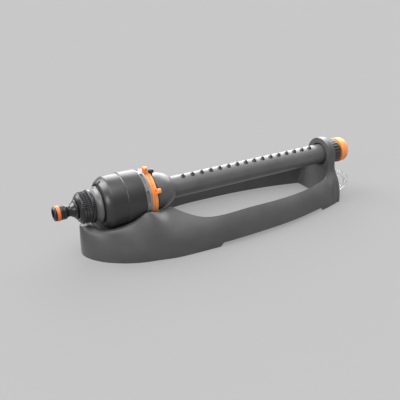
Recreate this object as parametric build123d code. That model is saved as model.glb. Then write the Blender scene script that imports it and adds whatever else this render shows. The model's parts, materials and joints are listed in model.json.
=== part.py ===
"""Oscillating lawn sprinkler with an in-line gear drive, in millimetres.

The spray axis runs along X, from the hose connector at -X to the end cap at +X.
Z is up, the ground is Z = 0, and the origin lies on the ground under the middle of the part.
Everything that turns on the spray axis is drawn round X and lifted by AXIS_HEIGHT.
"""

from build123d import *
from math import cos, pi, sin, sqrt
import os

os.makedirs("parts", exist_ok=True)

# ---------------------------------------------------------------- clearances
RUNNING = 0.08          # radial gap of a shaft in its bearing
GAP = 0.3               # gap between faces that pass each other
LOOSE = 1.0             # room round a part that must never rub

# ---------------------------------------------------------------- stations along the spray axis
AXIS_HEIGHT = 55.0
NIPPLE_LENGTH = 24.5
NUT_LENGTH = 16.8
COLLAR_LENGTH = 8.2
FRONT_SHELL_LENGTH = 23.0
REAR_SHELL_LENGTH = 20.0
POCKET_RING_LENGTH = 6.2
STOP_RING_WIDTH = 3.9
TRIP_RING_WIDTH = 2.8
DOME_LENGTH = 24.5
TUBE_SPAN = 218.0       # from the dome to the front of the hoop
HOOP_DEPTH = 11.5
END_COLLAR_LENGTH = 12.0
NECK_LENGTH = 2.6
CAP_LENGTH = 12.2
BUSH_FLANGE = 1.2

STOPS_LENGTH = 2 * STOP_RING_WIDTH + TRIP_RING_WIDTH + 4 * GAP
OVERALL = (NIPPLE_LENGTH + NUT_LENGTH + COLLAR_LENGTH + FRONT_SHELL_LENGTH + REAR_SHELL_LENGTH
           + POCKET_RING_LENGTH + STOPS_LENGTH + DOME_LENGTH + TUBE_SPAN + HOOP_DEPTH
           + BUSH_FLANGE + GAP + END_COLLAR_LENGTH + NECK_LENGTH + CAP_LENGTH)
X_TIP = -OVERALL / 2
X_NUT = X_TIP + NIPPLE_LENGTH
X_COLLAR = X_NUT + NUT_LENGTH
X_DRUM = X_COLLAR + COLLAR_LENGTH
X_SEAM = X_DRUM + FRONT_SHELL_LENGTH
X_POCKETS = X_SEAM + REAR_SHELL_LENGTH
X_STOP_A = X_POCKETS + POCKET_RING_LENGTH + GAP
X_STOP_B = X_STOP_A + STOP_RING_WIDTH + GAP
X_TRIP = X_STOP_B + STOP_RING_WIDTH + GAP
X_DOME = X_TRIP + TRIP_RING_WIDTH + GAP
X_TUBE = X_DOME + DOME_LENGTH
X_HOOP = X_TUBE + TUBE_SPAN
X_HOOP_BACK = X_HOOP + HOOP_DEPTH
X_END_COLLAR = X_HOOP_BACK + BUSH_FLANGE + GAP
X_NECK = X_END_COLLAR + END_COLLAR_LENGTH
X_CAP = X_NECK + NECK_LENGTH
X_END = X_CAP + CAP_LENGTH

# ---------------------------------------------------------------- spray tube and its drive hub
TUBE_RADIUS = 12.5
TUBE_WALL = 2.3
NECK_RADIUS = 11.4      # dark neck between the end collar and the cap
NOZZLES = 16
NOZZLE_PITCH = 12.25
FIRST_NOZZLE = 14.5     # from the end of the dome to the first nozzle
NOZZLE_RADIUS = 2.7
NOZZLE_TIP_RADIUS = 1.3
NOZZLE_HEIGHT = 2.6
NOZZLE_BORE_RADIUS = 0.6
NOZZLE_STEM_RADIUS = 1.9
NOZZLE_FAN = 5.0        # tilt of the outermost nozzles along the tube, degrees
TILT = 15.0             # the row of nozzles at rest, degrees from upright towards -Y
DOME_RADIUS = 21.5
DOME_WALL = 2.4
JOURNAL_RADIUS = 14.0   # the hub's journal, which carries the dome and the tube
JOURNAL_BORE = 10.0
SOCKET_WALL = 2.4
SOCKET_DEPTH = 13.0
END_COLLAR_RADIUS = 14.9
END_COLLAR_RIBS = 18
CAP_RADIUS = 15.2
CAP_PLUG = 11.0         # length of the plug inside the tube
NEEDLE_LENGTH = 16.0
NEEDLE_RADIUS = 0.7

# ---------------------------------------------------------------- drum and range setting
DRUM_RADIUS = 29.5
DRUM_WALL = 2.8
SHOULDER = 7.0          # length of the bevelled shoulder of the front shell
LAP = 3.0               # tongue of the front shell inside the rear shell
END_WALL = 3.0
POCKET_RING_RADIUS = 28.6
POCKETS = 8
SLEEVE_RADIUS = 23.5    # the sleeve that the two stop rings turn on
SLEEVE_WALL = 1.8
STOP_RING_RADIUS = 27.5
LEVER_HEIGHT = 7.6
LEVER_WIDTH = 5.0       # round the ring
STOP_A_ANGLE = 12.0     # levers at rest, degrees from upright towards -Y
STOP_B_ANGLE = 63.0
TRIP_ANGLE = 10.0
TRIP_RADIUS = 21.0
TRIP_HEIGHT = 10.4
TRIP_WIDTH = 4.2

# ---------------------------------------------------------------- hose connection
NIPPLE_RADIUS = 7.8
NIPPLE_NECK_RADIUS = 6.0
NIPPLE_BORE = 5.2
NIPPLE_SHOULDER_RADIUS = 10.2
O_RING_WIDTH = 4.0
O_RING_RADIUS = 8.05
O_RING_SEAT = 6.2       # radius of the groove's floor
O_RING_PLACE = 2.7
NUT_RADIUS = 16.3
NUT_WALL = 2.4
NUT_FLANGE_RADIUS = 18.0
KNURLS = 40
KNURL_HEIGHT = 0.7
THREAD_RADIUS = 13.1    # G3/4 thread, taken at its crests
INLET_BORE = 9.0
SPIGOT_RADIUS = 15.0
COLLAR_FRONT_RADIUS = 16.4
COLLAR_BACK_RADIUS = 19.8
WASHER_THICKNESS = 2.0

# ---------------------------------------------------------------- gear drive
MODULE = 0.8
PINION_TEETH = 10
WHEEL_TEETH = 24
RING_TEETH = PINION_TEETH + WHEEL_TEETH + PINION_TEETH
FACE_WIDTH = 4.6
TURBINE_RADIUS = 15.5
TURBINE_WIDTH = 5.5
TURBINE_BLADES = 12
SHAFT_RADIUS = 1.5
PLATE_THICKNESS = 2.0
STATOR_THICKNESS = 3.0
SELECTOR_RADIUS = 20.0
SELECTOR_THICKNESS = 2.0
JETS = 6
JET_RADIUS = 2.3
JET_CIRCLE = 12.0
JET_SLANT = 30.0
SEAL_RADIUS = 16.2
ADDENDUM = 0.7 * MODULE
DEDENDUM = 0.95 * MODULE
BACKLASH = 0.3
FLANK = 0.3             # slope of the straight tooth flanks
LAYSHAFT_OFFSET = MODULE * (PINION_TEETH + WHEEL_TEETH) / 2
PIN_RADIUS = 1.4
RING_FACE = 6.0
BOSS_START = X_DRUM + 6.2
X_SELECTOR = BOSS_START + 0.4
X_STATOR = X_SELECTOR + SELECTOR_THICKNESS + 0.4
X_TURBINE = X_STATOR + STATOR_THICKNESS + 0.5
X_PLATE = X_TURBINE + TURBINE_WIDTH + 1.4
X_WHEELS = X_PLATE + PLATE_THICKNESS + 0.4
X_RING_DISC = X_POCKETS - END_WALL - LOOSE - PLATE_THICKNESS

# ---------------------------------------------------------------- base frame
BASE_HALF_WIDTH = 61.5
END_HALF_WIDTH = 37.5
WIDEST_X = X_TUBE + 0.305 * TUBE_SPAN
RAIL_WIDTH = 14.0
SKIN = 3.0
HOOP_RADIUS = 21.0
TOWER_SHOULDER = 8.0    # the tower's sides spread into the base from this far below the axis
TOWER_BLEND = 6.0       # how tightly they turn into the spread
END_CORNER = 5.5        # rounding of the end face in plan
END_EDGE = 3.5          # and over the hoop
HOOP_BORE = 14.6
TROUGH_GAP = 0.4
OPENING_START = X_TUBE - 15.0
OPENING_ROUND_START = 51.0
OPENING_TAPER = 46.0    # length over which the opening narrows towards the end wall
OPENING_NARROWING = 5.0 # at the top; at the ground the sides run straight on
OPENING_CORNER = 6.0    # rounding between the opening's sides and its end wall
GROUND_CORNER = 3.5     # the same rounding at the ground
OPENING_DRAFT = 2.0     # the rails' inner walls lean out by this much
END_DRAFT = 9.0         # and the end wall under the hoop by this much
DRAFT_HEIGHT = 40.0
FOOT_HEIGHT = 4.0       # the rails clear the ground by this much between the feet
INNER_SKIRT_HEIGHT = 5.0
HOSE_FOOT_END = X_TUBE + 30.4
FAR_FOOT_START = X_HOOP - 27.6
RIB_CLEARANCE = 3.0
RIB_THICKNESS = 2.2
RIB_Y = 19.0
SCREW_RADIUS = 1.8
SCREW_HEAD_RADIUS = 3.8
SCREW_BOSS_TOP = 22.6   # from the spray axis down to the drum's screw bosses
TAB_REACH = 26.0
TAB_HEIGHT = 32.0
TAB_RIM = 5.0
TAB_THICKNESS = 3.0
TAB_Y = -19.0
TAB_Z = 18.5

BASE_NOSE = X_NUT + 1.5
TOWER_START = X_HOOP - 11.0
TOWER_FULL = X_HOOP - 0.5
TOWER_TOP = AXIS_HEIGHT + HOOP_RADIUS


# ================================================================ helpers
def turned(*points):
    """Solid of revolution round the spray axis from (x, radius) corners."""
    profile = make_face(Polyline(*points, close=True))
    return Pos(0, 0, AXIS_HEIGHT) * revolve(profile, Axis.X, 360)


def sleeve(x0, x1, outer, inner=0.0):
    """Plain ring or rod on the spray axis."""
    return turned((x0, inner), (x0, outer), (x1, outer), (x1, inner))


def across(x0, x1, outline, y=0.0, z=AXIS_HEIGHT):
    """Extrude a flat outline, given in (Y, Z) round the point y, z, from x0 to x1."""
    return Pos(x0, y, z) * extrude(Plane.YZ * outline, x1 - x0)


def at_angle(shape, angle):
    """Turn a shape round the spray axis by an angle from upright towards -Y."""
    return shape.rotate(Axis((0, 0, AXIS_HEIGHT), (1, 0, 0)), angle)


def smooth(u):
    """Ease from 0 to 1."""
    u = min(max(u, 0.0), 1.0)
    return u * u * (3 - 2 * u)


# ================================================================ base frame
def half_width(x):
    """Half width of the base on the ground: blunt nose, widest at WIDEST_X, slim far end."""
    if x < WIDEST_X:
        u = (WIDEST_X - x) / (WIDEST_X - BASE_NOSE)
        return BASE_HALF_WIDTH * (1 - u**3.3) ** (1 / 1.7)
    u = (x - WIDEST_X) / (X_HOOP_BACK - WIDEST_X)
    return BASE_HALF_WIDTH - (BASE_HALF_WIDTH - END_HALF_WIDTH) * u**2


# Height that the arched section would reach over the axis, before the opening and trough are cut.
CROWNS = (
    (BASE_NOSE, 38.0),
    (X_DRUM, 47.0),
    (X_SEAM, 50.0),
    (X_DOME, 50.5),
    (X_TUBE, 45.0),
    (X_TUBE + 0.19 * TUBE_SPAN, 48.5),
    (X_TUBE + 0.37 * TUBE_SPAN, 49.0),
    (X_TUBE + 0.60 * TUBE_SPAN, 45.0),
    (X_TUBE + 0.81 * TUBE_SPAN, 41.0),
    (X_HOOP_BACK, 40.0),
)


def crown(x):
    for (x0, z0), (x1, z1) in zip(CROWNS[:-1], CROWNS[1:]):
        if x <= x1:
            return z0 + (z1 - z0) * smooth((x - x0) / (x1 - x0))
    return CROWNS[-1][1]


def tower_half_width(x, z):
    """Half width of the hoop tower: a circle over upright sides that spread into the base."""
    if z > AXIS_HEIGHT:
        return sqrt(max(HOOP_RADIUS**2 - (z - AXIS_HEIGHT) ** 2, 0))
    spread = half_width(x) * sqrt(max(1 - (z / (AXIS_HEIGHT - TOWER_SHOULDER)) ** 2, 0))
    return (spread**TOWER_BLEND + HOOP_RADIUS**TOWER_BLEND) ** (1 / TOWER_BLEND)


def end_round(x, radius):
    """How far the outline has drawn in at x, on a quarter circle up to the end face."""
    u = min(max((x - X_HOOP_BACK + radius) / radius, 0.0), 1.0)
    return radius * (1 - sqrt(1 - u * u))


def base_section(x, inset, steps=8):
    """Section of the base at x: half an ellipse that turns into the tower's outline."""
    blend = smooth((x - TOWER_START) / (TOWER_FULL - TOWER_START))
    edge = inset + end_round(x + inset, END_EDGE)
    top = (1 - blend) * crown(x) + blend * TOWER_TOP
    side = []
    for k in range(steps):
        s = sin(pi / 2 * k / steps)
        corner = inset + (1 - s) * end_round(x + inset, END_CORNER) + s * end_round(x + inset, END_EDGE)
        arch = half_width(x) * sqrt(1 - s * s)
        height = CROWNS[-1][1] * s + (TOWER_TOP - CROWNS[-1][1]) * s**3
        y = (1 - blend) * arch + blend * tower_half_width(x, height)
        z = (1 - blend) * crown(x) * s + blend * height
        side.append((y - corner * (1 - s * s) ** 0.25, z - edge * s))
    points = [(-y, z) for y, z in side] + [(0, top - edge)] + [(y, z) for y, z in reversed(side)]
    curve = Spline(*[Vector(x, y, z) for y, z in points])
    return make_face([curve, Line(curve @ 1, curve @ 0)])


def base_body(inset):
    """Three lofts in a row, inset by the skin for the inside: the arch, its sweep up, and the tower."""
    nose = [BASE_NOSE + inset * 1.2 + d for d in (0.3, 1.3, 3.8, 8, 16, 30)]
    length = TOWER_START - BASE_NOSE
    middle = [BASE_NOSE + length * share for share in (0.16, 0.25, 0.33, 0.43, 0.55, 0.71, 0.85, 0.96)]
    sweep = [TOWER_START + (TOWER_FULL - TOWER_START) * k / 6 for k in range(7)]
    end = [X_HOOP_BACK - inset - END_CORNER * (1 - sin(pi / 2 * k / 4)) for k in range(5)]
    runs = (nose + middle + [TOWER_START], sweep, [TOWER_FULL] + end)
    lofts = [loft([base_section(x, inset) for x in run]) for run in runs]
    return lofts[0] + lofts[1] + lofts[2]


def opening_side(x, rail, start, end, narrowing):
    """Half width of the opening: the outline less the rail, round at the start, narrower at the end."""
    round_start = start + OPENING_ROUND_START
    if x < round_start:
        u = (round_start - x) / OPENING_ROUND_START
        return (half_width(round_start) - rail) * sqrt(max(1 - u * u, 0))
    u = max(x - end + OPENING_TAPER, 0) / OPENING_TAPER
    return half_width(x) - rail - narrowing * u * u


def opening_outline(z, rail, start, end, narrowing, radius):
    """Closed outline: both sides in one curve, and a flat end wall with rounded corners."""
    corner = end - radius
    straight = corner - start - OPENING_ROUND_START
    stations = [start + OPENING_ROUND_START * (1 - cos(pi / 2 * k / 4)) for k in range(1, 5)]
    stations += [start + OPENING_ROUND_START + straight * share for share in (0.2, 0.4, 0.6, 0.75, 0.88, 1)]
    side = [Vector(x, opening_side(x, rail, start, end, narrowing), z) for x in stations]
    other = [Vector(p.X, -p.Y, z) for p in reversed(side)]
    sides = Spline(*other, Vector(start, 0, z), *side)
    slope = (side[-1].Y - side[-2].Y) / (side[-1].X - side[-2].X)
    wall = Vector(end, side[-1].Y + slope * radius - radius, z)
    near = Spline(sides @ 1, wall, tangents=[Vector(1, slope, 0), Vector(0, -1, 0)])
    far = near.mirror(Plane.XZ)
    return make_face([sides, near, Line(near @ 1, far @ 1), far])


def opening_solid(grow, bottom, top):
    """The opening between the rails, with draft up to DRAFT_HEIGHT and upright above."""
    low = opening_outline(bottom, RAIL_WIDTH + OPENING_DRAFT - grow, OPENING_START + OPENING_DRAFT - grow,
                          X_HOOP - END_DRAFT + grow, 0, GROUND_CORNER)
    high = opening_outline(DRAFT_HEIGHT, RAIL_WIDTH - grow, OPENING_START - grow, X_HOOP + grow,
                           OPENING_NARROWING, OPENING_CORNER)
    return loft([low, high], ruled=True) + extrude(high, top - DRAFT_HEIGHT, dir=(0, 0, 1))


def trough(grow):
    """Room for the nut, collar, drum and dome, grown by the skin to shape its underside."""
    drum = DRUM_RADIUS + TROUGH_GAP + grow
    rings = STOP_RING_RADIUS + LOOSE + grow
    dome = DOME_RADIUS + 4.2 + grow
    tail = X_TUBE + 3
    # the flare keeps clear of the nut, the collar and the shoulder of the drum
    bore = NUT_FLANGE_RADIUS + 1.7 + grow
    entry = Line((X_TIP, bore), (X_COLLAR - 5, bore))
    flare = Spline(entry @ 1, (X_COLLAR, drum - 6.4), (X_COLLAR + 4, drum - 3.0), (X_DRUM + 1, drum - 1.2),
                   (X_DRUM + 14, drum), tangents=[(1, 0), (1, 0)])
    rest = Polyline(flare @ 1, (X_STOP_A, drum), (X_STOP_B, rings), (X_TRIP, rings), (X_DOME, dome),
                    (X_DOME + 8, dome - 0.8), (tail, dome - 8), (tail, 0), (X_TIP, 0), entry @ 0)
    return Pos(0, 0, AXIS_HEIGHT) * revolve(make_face([entry, flare, rest]), Axis.X, 360)


DRUM_SCREWS = ((X_STATOR + STATOR_THICKNESS + X_PLATE) / 2, (X_SEAM + LAP + X_POCKETS) / 2)
PLATES = (X_COLLAR + 0.2, X_SEAM, X_STOP_A)


def ribs():
    """Ribs under the trough, clear of the ground: three plates across and two along."""
    height = AXIS_HEIGHT - RIB_CLEARANCE
    middle = RIB_CLEARANCE + height / 2
    across_ribs = [Pos(x, 0, middle) * Box(RIB_THICKNESS, 2 * BASE_HALF_WIDTH, height) for x in PLATES]
    length = PLATES[-1] - BASE_NOSE
    along = [Pos(BASE_NOSE + length / 2, y, middle) * Box(length, RIB_THICKNESS, height) for y in (-RIB_Y, RIB_Y)]
    return Part() + across_ribs + along


def screw_boss(x, radius, bottom):
    return Pos(x, 0, bottom) * Cylinder(radius, AXIS_HEIGHT - bottom, align=(Align.CENTER, Align.CENTER, Align.MIN))


def base_frame():
    trough_inside = trough(0)
    cavity = base_body(SKIN) - opening_solid(SKIN, -1, TOWER_TOP + 5) - trough(SKIN)
    cavity -= sleeve(X_HOOP - 5, X_HOOP_BACK, HOOP_BORE + SKIN)
    cavity -= ribs()
    for x in DRUM_SCREWS:
        cavity -= screw_boss(x, SCREW_HEAD_RADIUS + 2.2, 2.0)
    body = base_body(0) - opening_solid(0, -1, TOWER_TOP + 5) - trough_inside - cavity
    body -= sleeve(X_HOOP - 20, X_HOOP_BACK + 1, HOOP_BORE)
    # the feet are the two ends of the outer skirt, and the skirt inside the opening is shorter
    arch_length = FAR_FOOT_START - HOSE_FOOT_END
    arch = Box(arch_length, 4 * BASE_HALF_WIDTH, 2 * FOOT_HEIGHT)
    body -= Pos(HOSE_FOOT_END + arch_length / 2, 0, 0) * chamfer(arch.edges().filter_by(Axis.Y), FOOT_HEIGHT * 0.9)
    body -= opening_solid(SKIN + 0.5, -1, TOWER_TOP) & Box(OVERALL, OVERALL, 2 * INNER_SKIRT_HEIGHT)
    for x in DRUM_SCREWS:
        body -= screw_boss(x, SCREW_RADIUS + 0.15, -1)
        seat = AXIS_HEIGHT - DRUM_RADIUS - TROUGH_GAP - SKIN
        body -= Pos(x, 0, 0) * Cylinder(SCREW_HEAD_RADIUS + 0.3, seat, align=(Align.CENTER, Align.CENTER, Align.MIN))
    return body


def hoop_bush():
    """Flanged plain bearing of the spray tube, pressed in the hoop a little behind its front face."""
    bore = TUBE_RADIUS + RUNNING
    return turned((X_HOOP + 3.0, bore), (X_HOOP + 3.0, HOOP_BORE), (X_HOOP_BACK, HOOP_BORE),
                  (X_HOOP_BACK, HOOP_BORE + 1.6), (X_HOOP_BACK + BUSH_FLANGE, HOOP_BORE + 1.6),
                  (X_HOOP_BACK + BUSH_FLANGE, bore))


def hang_tab():
    """Clear moulded loop that plugs into the end wall beside the tower."""
    outline = Plane.XZ * (Ellipse(TAB_REACH, TAB_HEIGHT / 2) - Ellipse(TAB_REACH - TAB_RIM, TAB_HEIGHT / 2 - TAB_RIM))
    loop = Pos(X_HOOP_BACK, TAB_Y, TAB_Z) * extrude(outline, TAB_THICKNESS / 2, both=True)
    behind = Pos(X_HOOP_BACK + TAB_REACH, TAB_Y, TAB_Z) * Box(2 * TAB_REACH, 2 * TAB_THICKNESS, 2 * TAB_HEIGHT)
    return loop & behind


def drum_screws():
    """Two screws from below, through the trough and into the bosses of the drum."""
    seat = AXIS_HEIGHT - DRUM_RADIUS - TROUGH_GAP - SKIN
    tip = AXIS_HEIGHT - SCREW_BOSS_TOP - 1.5
    screws = []
    for x in DRUM_SCREWS:
        head = Pos(x, 0, seat - 2.4) * Cylinder(SCREW_HEAD_RADIUS, 2.4, align=(Align.CENTER, Align.CENTER, Align.MIN))
        slot = Pos(x, 0, seat - 2.4) * Box(5.0, 1.0, 2.0)
        shank = Pos(x, 0, seat) * Cylinder(SCREW_RADIUS, tip - seat, align=(Align.CENTER, Align.CENTER, Align.MIN))
        screws.append(head - slot + shank)
    return Compound(children=screws)


# ================================================================ drum
def screw_pad(x):
    """Boss inside the drum's bottom for a screw."""
    pad = Pos(x, 0, AXIS_HEIGHT - DRUM_RADIUS + DRUM_WALL / 2)
    height = DRUM_RADIUS - DRUM_WALL / 2 - SCREW_BOSS_TOP
    return pad * Cylinder(3.5, height, align=(Align.CENTER, Align.CENTER, Align.MIN))


def screw_pilot(x):
    bottom = AXIS_HEIGHT - DRUM_RADIUS - 1
    depth = DRUM_RADIUS + 1 - SCREW_BOSS_TOP - 1.5
    return Pos(x, 0, bottom) * Cylinder(SCREW_RADIUS, depth, align=(Align.CENTER, Align.CENTER, Align.MIN))


def drum_front_shell():
    """Front half of the drum: bore for the inlet, bevelled shoulder, and a tongue into the rear half."""
    inside = DRUM_RADIUS - DRUM_WALL
    shell = turned((X_DRUM, SPIGOT_RADIUS), (X_DRUM, DRUM_RADIUS - 9.0), (X_DRUM + 0.8, DRUM_RADIUS - 7.9),
                   (X_DRUM + SHOULDER - 1.2, DRUM_RADIUS - 1.7), (X_DRUM + SHOULDER, DRUM_RADIUS - 0.8),
                   (X_DRUM + 12.0, DRUM_RADIUS - 0.2), (X_SEAM - 0.5, DRUM_RADIUS), (X_SEAM, DRUM_RADIUS - 0.5), (X_SEAM, DRUM_RADIUS - 1.4),
                   (X_SEAM + LAP, DRUM_RADIUS - 1.4), (X_SEAM + LAP, inside), (X_DRUM + SHOULDER + 1, inside),
                   (X_DRUM + 4.0, 23.0), (X_DRUM + 4.0, SPIGOT_RADIUS))
    return shell + screw_pad(DRUM_SCREWS[0]) - screw_pilot(DRUM_SCREWS[0])


def drum_rear_shell():
    """Rear half of the drum: rebate for the tongue, end wall, and the journal bearing."""
    inside = DRUM_RADIUS - DRUM_WALL
    rebate = DRUM_RADIUS - 1.4
    wall = X_POCKETS - END_WALL
    shell = turned((X_SEAM + LAP + 0.2, inside), (X_SEAM + LAP + 0.2, rebate), (X_SEAM, rebate),
                   (X_SEAM, DRUM_RADIUS - 0.5), (X_SEAM + 0.5, DRUM_RADIUS), (X_POCKETS - 0.6, DRUM_RADIUS),
                   (X_POCKETS, DRUM_RADIUS - 0.6), (X_POCKETS, SLEEVE_RADIUS - SLEEVE_WALL),
                   (X_POCKETS + 3.0, SLEEVE_RADIUS - SLEEVE_WALL), (X_POCKETS + 3.0, JOURNAL_RADIUS + RUNNING),
                   (X_POCKETS + 1.2, JOURNAL_RADIUS + RUNNING), (X_POCKETS + 1.2, SEAL_RADIUS),
                   (X_POCKETS - 0.8, SEAL_RADIUS), (X_POCKETS - 0.8, JOURNAL_RADIUS + RUNNING),
                   (wall, JOURNAL_RADIUS + RUNNING), (wall, inside))
    return shell + screw_pad(DRUM_SCREWS[1]) - screw_pilot(DRUM_SCREWS[1])


def pocket_ring():
    """Fixed ring with long rounded pockets round it, and the sleeve that carries the stop rings."""
    bore = SLEEVE_RADIUS - SLEEVE_WALL
    ring = turned((X_POCKETS, bore), (X_POCKETS, POCKET_RING_RADIUS), (X_STOP_A - GAP - 0.5, POCKET_RING_RADIUS),
                  (X_STOP_A - GAP, POCKET_RING_RADIUS - 0.5), (X_STOP_A - GAP, SLEEVE_RADIUS),
                  (X_TRIP - GAP, SLEEVE_RADIUS), (X_TRIP - GAP, bore))
    depth = 2.4
    arc = 360 / POCKETS * 0.62
    floor = POCKET_RING_RADIUS - depth
    pocket = turned((X_POCKETS + 1.2, floor), (X_POCKETS + 1.2, 40), (X_STOP_A - GAP - 1.2, 40),
                    (X_STOP_A - GAP - 1.2, floor))
    wedge = Pos(X_POCKETS + 3, 0, AXIS_HEIGHT) * Plane.YZ.location * extrude(
        make_face([Line((0, 0), (50, 0)), CenterArc((0, 0), 50, 0, arc), Line((0, 0), Vector(50, 0).rotate(Axis.Z, arc))]),
        POCKET_RING_LENGTH, both=True)
    pocket = pocket & wedge
    return ring - [at_angle(pocket, 360 / POCKETS * k + 20) for k in range(POCKETS)]


def stop_ring(x, angle, lever_shift):
    """Friction ring with an upright lever whose top is rounded."""
    ring = turned((x, SLEEVE_RADIUS + RUNNING), (x, STOP_RING_RADIUS - 0.5), (x + 0.5, STOP_RING_RADIUS),
                  (x + STOP_RING_WIDTH - 0.5, STOP_RING_RADIUS), (x + STOP_RING_WIDTH, STOP_RING_RADIUS - 0.5),
                  (x + STOP_RING_WIDTH, SLEEVE_RADIUS + RUNNING))
    bottom = STOP_RING_RADIUS - 1.2
    top = STOP_RING_RADIUS + LEVER_HEIGHT
    width = STOP_RING_WIDTH + GAP
    blade = Pos(x + lever_shift + width / 2, 0, AXIS_HEIGHT + (bottom + top) / 2) * Box(width, LEVER_WIDTH, top - bottom)
    blade = fillet(blade.edges().filter_by(Axis.Y).group_by(Axis.Z)[-1], width * 0.45)
    return ring + at_angle(blade, angle)


# ================================================================ turning spray assembly
def trip_lever():
    """Ring on the hub's journal with a tab whose head reaches over the rear stop ring."""
    ring = sleeve(X_TRIP, X_TRIP + TRIP_RING_WIDTH, TRIP_RADIUS, JOURNAL_RADIUS + RUNNING)
    height = TRIP_RADIUS + TRIP_HEIGHT
    stem = Pos(X_TRIP + TRIP_RING_WIDTH / 2, 0, AXIS_HEIGHT + (TRIP_RADIUS - 1 + height) / 2)
    stem = stem * Box(TRIP_RING_WIDTH, TRIP_WIDTH, height - TRIP_RADIUS + 1)
    head_bottom = STOP_RING_RADIUS + 0.7
    head_start = X_TRIP - 2.4
    head_length = X_TRIP + TRIP_RING_WIDTH - head_start
    head = Pos(head_start + head_length / 2, 0, AXIS_HEIGHT + (head_bottom + height) / 2)
    head = head * Box(head_length, TRIP_WIDTH, height - head_bottom)
    head = fillet(head.edges().filter_by(Axis.Y).group_by(Axis.Z)[-1], 1.2)
    return ring + at_angle(stem + head, TRIP_ANGLE)


def dome_shell():
    """Bulb-shaped cover that narrows to the tube, open towards the drum."""
    outer = Spline((X_DOME, DOME_RADIUS - 0.4), (X_DOME + 7, DOME_RADIUS - 0.3), (X_DOME + 14, DOME_RADIUS - 1.9),
                   (X_DOME + 19.5, DOME_RADIUS - 4.8), (X_TUBE - 1.2, TUBE_RADIUS + 1.2))
    inner = Spline((X_TUBE - 2.4, TUBE_RADIUS + 0.05), (X_DOME + 18, DOME_RADIUS - 5.4 - DOME_WALL),
                   (X_DOME + 12, DOME_RADIUS - 1.9 - DOME_WALL), (X_DOME, DOME_RADIUS - 0.6 - DOME_WALL))
    end = Polyline(outer @ 1, (X_TUBE, TUBE_RADIUS + 0.7), (X_TUBE, TUBE_RADIUS + 0.05), inner @ 0)
    profile = make_face([outer, end, inner, Line(inner @ 1, outer @ 0)])
    return Pos(0, 0, AXIS_HEIGHT) * revolve(profile, Axis.X, 360)


def drive_hub():
    """Journal, flange behind the trip ring, and the socket of the spray tube."""
    start = X_POCKETS - END_WALL - PLATE_THICKNESS - 1.0
    socket_end = X_DOME + 2.4 + SOCKET_DEPTH
    flange = DOME_RADIUS - 0.6 - DOME_WALL - 0.05
    hub = turned((start, JOURNAL_BORE), (start, JOURNAL_RADIUS), (X_DOME, JOURNAL_RADIUS), (X_DOME, flange),
                 (X_DOME + 2.4, flange), (X_DOME + 2.4, TUBE_RADIUS + SOCKET_WALL),
                 (socket_end, TUBE_RADIUS + SOCKET_WALL), (socket_end, TUBE_RADIUS), (X_DOME + 2.4, TUBE_RADIUS),
                 (X_DOME + 2.4, JOURNAL_BORE))
    return hub


def nozzle_places():
    """Station, angle round the tube's side and fan tilt of each nozzle."""
    middle = (NOZZLES - 1) / 2
    return [(X_TUBE + FIRST_NOZZLE + k * NOZZLE_PITCH, NOZZLE_FAN * (k - middle) / middle) for k in range(NOZZLES)]


def nozzle_frame(x, fan):
    """Place of a nozzle on the tube's outside, its axis leaning by fan in the plane of the tube."""
    return Pos(x, 0, AXIS_HEIGHT + TUBE_RADIUS) * Rot(0, fan, 0)


def spray_tube():
    """Tube from the hub's socket to the cap, with a hole for each nozzle and a turned-down neck."""
    bore = TUBE_RADIUS - TUBE_WALL
    tube = turned((X_DOME + 2.4, bore), (X_DOME + 2.4, TUBE_RADIUS), (X_NECK, TUBE_RADIUS), (X_NECK, NECK_RADIUS),
                  (X_CAP, NECK_RADIUS), (X_CAP, bore))
    holes = [nozzle_frame(x, fan) * Cylinder(NOZZLE_STEM_RADIUS, 3 * TUBE_WALL) for x, fan in nozzle_places()]
    return at_angle(tube - holes, TILT)


def spray_nozzles():
    """One row of nozzles: a stem in the tube wall and a cone that sits on the tube, with a fine bore."""
    bore = NOZZLE_BORE_RADIUS
    stem = make_face(Polyline((bore, -TUBE_WALL), (NOZZLE_STEM_RADIUS, -TUBE_WALL), (NOZZLE_STEM_RADIUS, 0.4),
                              (bore, 0.4), close=True))
    cone = make_face(Polyline((bore, -1.2), (NOZZLE_RADIUS, -1.2), (NOZZLE_RADIUS, 0.8),
                              (NOZZLE_TIP_RADIUS, NOZZLE_HEIGHT), (bore, NOZZLE_HEIGHT), close=True))
    solids = []
    for x, fan in nozzle_places():
        place = nozzle_frame(x, fan)
        tube = sleeve(x - 6, x + 6, TUBE_RADIUS)
        seated = place * revolve(Plane.XZ * cone, Axis.Z, 360) - tube
        solids.append(at_angle(seated + place * revolve(Plane.XZ * stem, Axis.Z, 360), TILT))
    return Compound(children=solids)


def end_collar():
    """Ribbed collar fixed on the tube behind the hoop, which holds the tube in its bearing."""
    collar = turned((X_END_COLLAR, TUBE_RADIUS), (X_END_COLLAR, END_COLLAR_RADIUS), (X_NECK - 1, END_COLLAR_RADIUS),
                    (X_NECK, END_COLLAR_RADIUS - 1), (X_NECK, TUBE_RADIUS))
    rib = Pos((X_END_COLLAR + X_NECK) / 2 - 0.5, 0, AXIS_HEIGHT + END_COLLAR_RADIUS)
    rib = rib * Box(END_COLLAR_LENGTH - 2.5, 1.6, 1.6)
    return collar + [at_angle(rib, 360 / END_COLLAR_RIBS * k) for k in range(END_COLLAR_RIBS)]


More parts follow.
